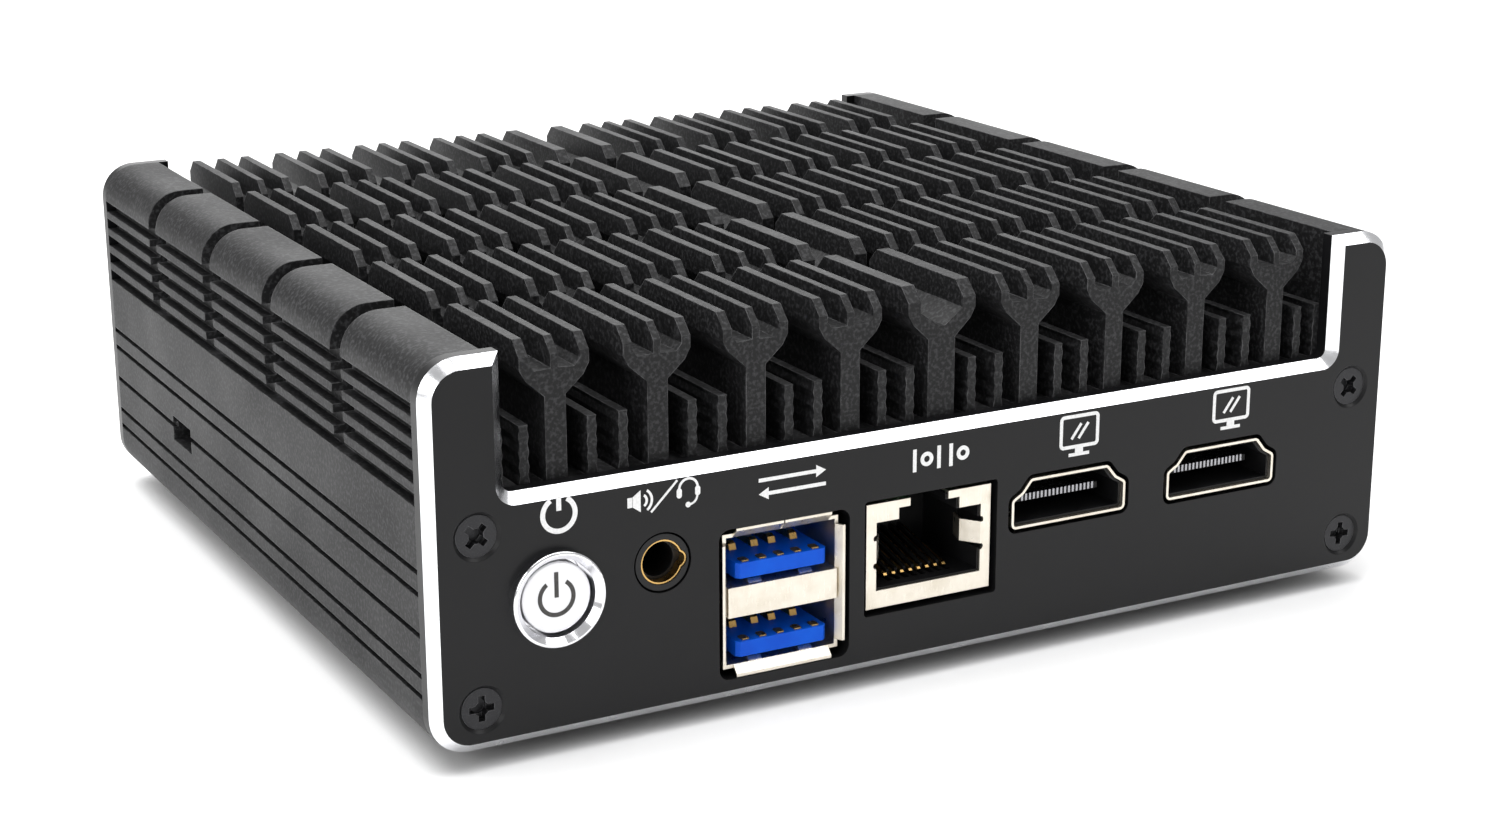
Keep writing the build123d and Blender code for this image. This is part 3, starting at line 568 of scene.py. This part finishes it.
def speaker_strokes(left, level):
    """Loudspeaker with two waves."""
    box_width = 0.5 * MM
    box_half_height = 0.5 * MM
    cone_half_height = 1.1 * MM
    cone_left = left + 0.55 * MM
    cone_right = left + 1.4 * MM
    wave_radii = (0.65 * MM, 1.2 * MM)
    wave_width = 0.25 * MM
    wave_angle = 55
    box = rectangle((left, level - box_half_height), (left + box_width, level + box_half_height))
    cone = [
        (cone_left, level - box_half_height),
        (cone_right, level - cone_half_height),
        (cone_right, level + cone_half_height),
        (cone_left, level + box_half_height),
    ]
    waves = [ring_stroke((cone_right, level), r, wave_width, -wave_angle, wave_angle) for r in wave_radii]
    return [box, cone] + waves


def headset_strokes(centre, level):
    """Headband, two ear pads and a microphone on a boom."""
    band_radius = 1.0 * MM
    band_width = 0.24 * MM
    pad_width = 0.55 * MM
    pad_bottom = level - 0.6 * MM
    pad_top = level - 0.15 * MM
    boom_centre = (centre + 0.1 * MM, level - 0.8 * MM)
    boom_radius = 0.85 * MM
    boom_width = 0.2 * MM
    microphone_centre = (centre - 0.05 * MM, level - 1.65 * MM)
    microphone_radius = 0.28 * MM
    strokes = [ring_stroke((centre, level), band_radius, band_width, 0, 180)]
    for x in (centre - band_radius, centre + band_radius):
        strokes += capsule((x, pad_bottom), (x, pad_top), pad_width)
    strokes.append(ring_stroke(boom_centre, boom_radius, boom_width, -90, 0))
    strokes.append(disc(microphone_centre, microphone_radius))
    return strokes


def sound_strokes(centre, level):
    """Loudspeaker or headset, with a slash between them."""
    slash_start = (centre - 1.2 * MM, level - 1.2 * MM)
    slash_end = (centre + 1.65 * MM, level + 1.6 * MM)
    slash = line(slash_start, slash_end, 0.22 * MM)
    speaker = speaker_strokes(centre - 3.7 * MM, level + 0.1 * MM)
    headset = headset_strokes(centre + 2.85 * MM, level + 0.6 * MM)
    return speaker + [slash] + headset


def arrow_strokes(tail, head, level):
    """Arrow with a solid head, pointing either way."""
    head_length = 1.1 * MM
    head_half_height = 0.62 * MM
    shaft_half_height = 0.19 * MM
    way = 1 if head > tail else -1
    neck = head - way * head_length
    left, right = sorted((tail, neck))
    shaft = rectangle((left, level - shaft_half_height), (right, level + shaft_half_height))
    point = [(neck, level + head_half_height), (neck, level - head_half_height), (head, level)]
    return [shaft, point]


def data_strokes(left, right, level):
    """Two arrows that pass each other, for data both ways."""
    shift = 0.72 * MM
    return arrow_strokes(left, right, level + shift) + arrow_strokes(right, left, level - shift)


def serial_strokes(centre, level):
    """A train of ones and noughts, for serial data."""
    digits = "10110"
    pitch = 1.45 * MM
    one_half_height = 1.2 * MM
    nought_radius = 0.55 * MM
    width = 0.42 * MM
    strokes = []
    for index, digit in enumerate(digits):
        x = centre + (index - len(digits) // 2) * pitch
        if digit == "1":
            strokes.append(line((x, level - one_half_height), (x, level + one_half_height), width))
        else:
            strokes.append(ring_stroke((x, level), nought_radius, width, -90, 90))
            strokes.append(ring_stroke((x, level), nought_radius, width, 90, 270))
    return strokes


def screen_strokes(centre, level):
    """Monitor on its stand, with two glare lines on the glass."""
    half_width = 2.5 * MM
    half_height = 1.85 * MM
    border = 0.38 * MM
    corner_radius = 0.55 * MM
    stem_half_width = 0.5 * MM
    base_half_width = 1.3 * MM
    glare_half_height = 0.8 * MM
    glare_width = 0.3 * MM
    low = (centre - half_width, level - half_height)
    high = (centre + half_width, level + half_height)
    stem_bottom = low[1] - 0.5 * MM
    base_bottom = low[1] - 0.85 * MM
    stem = rectangle((centre - stem_half_width, stem_bottom), (centre + stem_half_width, low[1]))
    base = rectangle((centre - base_half_width, base_bottom), (centre + base_half_width, stem_bottom))
    glare = []
    for shift in (0.0, 0.9 * MM):
        glare_low = (centre - 1.0 * MM + shift, level - glare_half_height)
        glare_high = (centre + 0.2 * MM + shift, level + glare_half_height)
        glare.append(line(glare_low, glare_high, glare_width))
    return frame_strokes(low, high, border, corner_radius) + [stem, base] + glare


def print_panel():
    """The white symbols, each above the control or socket that it belongs to."""
    level = PRINT_HEIGHT
    low_level = level - 0.6 * MM         # the symbols above the data and serial sockets sit lower
    screen_level = level - 0.4 * MM
    button = middle("power_button_bezel").x
    audio = middle("audio_socket_body").x
    data = middle("front_usb_shell").x
    serial = middle("serial_socket_shell").x
    places = {
        "power_symbol": power_strokes(
            (button + 0.5 * MM, level + 0.2 * MM),
            radius=1.68 * MM,
            width=0.5 * MM,
            gap=30,
            bar_low=0.35 * MM,
            bar_high=1.8 * MM,
        ),
        "sound_symbol": sound_strokes(audio, level),
        "data_symbol": data_strokes(data - 3.0 * MM, data + 4.6 * MM, low_level),
        "serial_symbol": serial_strokes(serial + 0.7 * MM, low_level),
    }
    for side in ("left", "right"):
        centre = middle(side + "_video_socket_shell").x + 1.0 * MM
        places[side + "_screen_symbol"] = screen_strokes(centre, screen_level)
    for name, strokes in places.items():
        print_symbol(name, strokes, FRONT_FACE, COMPUTER, WHITE_INK)


def print_cap():
    """The dark standby sign on the button's cap. It moves with the cap."""
    centre = middle("power_button_cap")
    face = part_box("power_button_cap")[0].y
    strokes = power_strokes(
        (centre.x, centre.z),
        radius=1.75 * MM,
        width=0.43 * MM,
        gap=35,
        bar_low=0.0,
        bar_high=2.55 * MM,
    )
    print_symbol("cap_symbol", strokes, face, BUTTON, DARK_INK)


# ---- Studio ------------------------------------------------------------------------

FLOOR_SIZE = 6.0
LIGHT_AIM = Vector((0.0, 0.0, 0.02))
AMBIENT_STRENGTH = 0.5
SOFTBOXES = (                            # name, place, size and watts
    ("overhead_softbox", (-0.15, 0.15, 0.9), 0.9, 11.0),
    ("left_softbox", (-0.8, -0.35, 0.40), 0.5, 2.5),
    ("right_softbox", (0.48, -0.30, 0.85), 0.5, 2.4),
    ("back_softbox", (0.30, 0.85, 0.45), 0.8, 3.6),
)
CAMERA_LENS = 62.904                     # mm, on a sensor 36 mm wide
CAMERA_PLACE = (-0.139955, -0.267985, 0.103822)
CAMERA_TURN = (73.518, 0.154, -28.564)   # degrees about x, y and z


def add_floor():
    """Plain table that the object stands on. It isn't part of the object."""
    bpy.ops.mesh.primitive_plane_add(size=FLOOR_SIZE, location=(0.0, 0.0, 0.0))
    floor = bpy.context.object
    floor.name = "floor"
    floor.data.materials.append(pale_floor())


def add_softbox(name, place, size, watts):
    """Square area light that faces the lower middle of the object."""
    light = bpy.data.lights.new(name, "AREA")
    light.size = size
    light.energy = watts
    lamp = bpy.data.objects.new(name, light)
    lamp.location = place
    aim = LIGHT_AIM - Vector(place)
    lamp.rotation_euler = aim.to_track_quat("-Z", "Y").to_euler()
    bpy.context.scene.collection.objects.link(lamp)


def add_studio_light():
    """Four softboxes and a white surround."""
    for name, place, size, watts in SOFTBOXES:
        add_softbox(name, place, size, watts)
    world = bpy.data.worlds.new("studio")
    world.use_nodes = True
    background = world.node_tree.nodes["Background"]
    background.inputs["Color"].default_value = (1.0, 1.0, 1.0, 1.0)
    background.inputs["Strength"].default_value = AMBIENT_STRENGTH
    bpy.context.scene.world = world


def add_camera():
    """The view of the product picture: low, from the front left."""
    camera = bpy.data.cameras.new("camera")
    camera.sensor_width = 36.0
    camera.lens = CAMERA_LENS
    camera.clip_start = 0.01
    eye = bpy.data.objects.new("camera", camera)
    eye.location = CAMERA_PLACE
    eye.rotation_euler = Euler([math.radians(angle) for angle in CAMERA_TURN])
    bpy.context.scene.collection.objects.link(eye)
    bpy.context.scene.camera = eye


add_camera()
dress_nodes()
print_panel()
print_cap()
add_floor()
add_studio_light()
bpy.context.scene.view_settings.view_transform = "Standard"
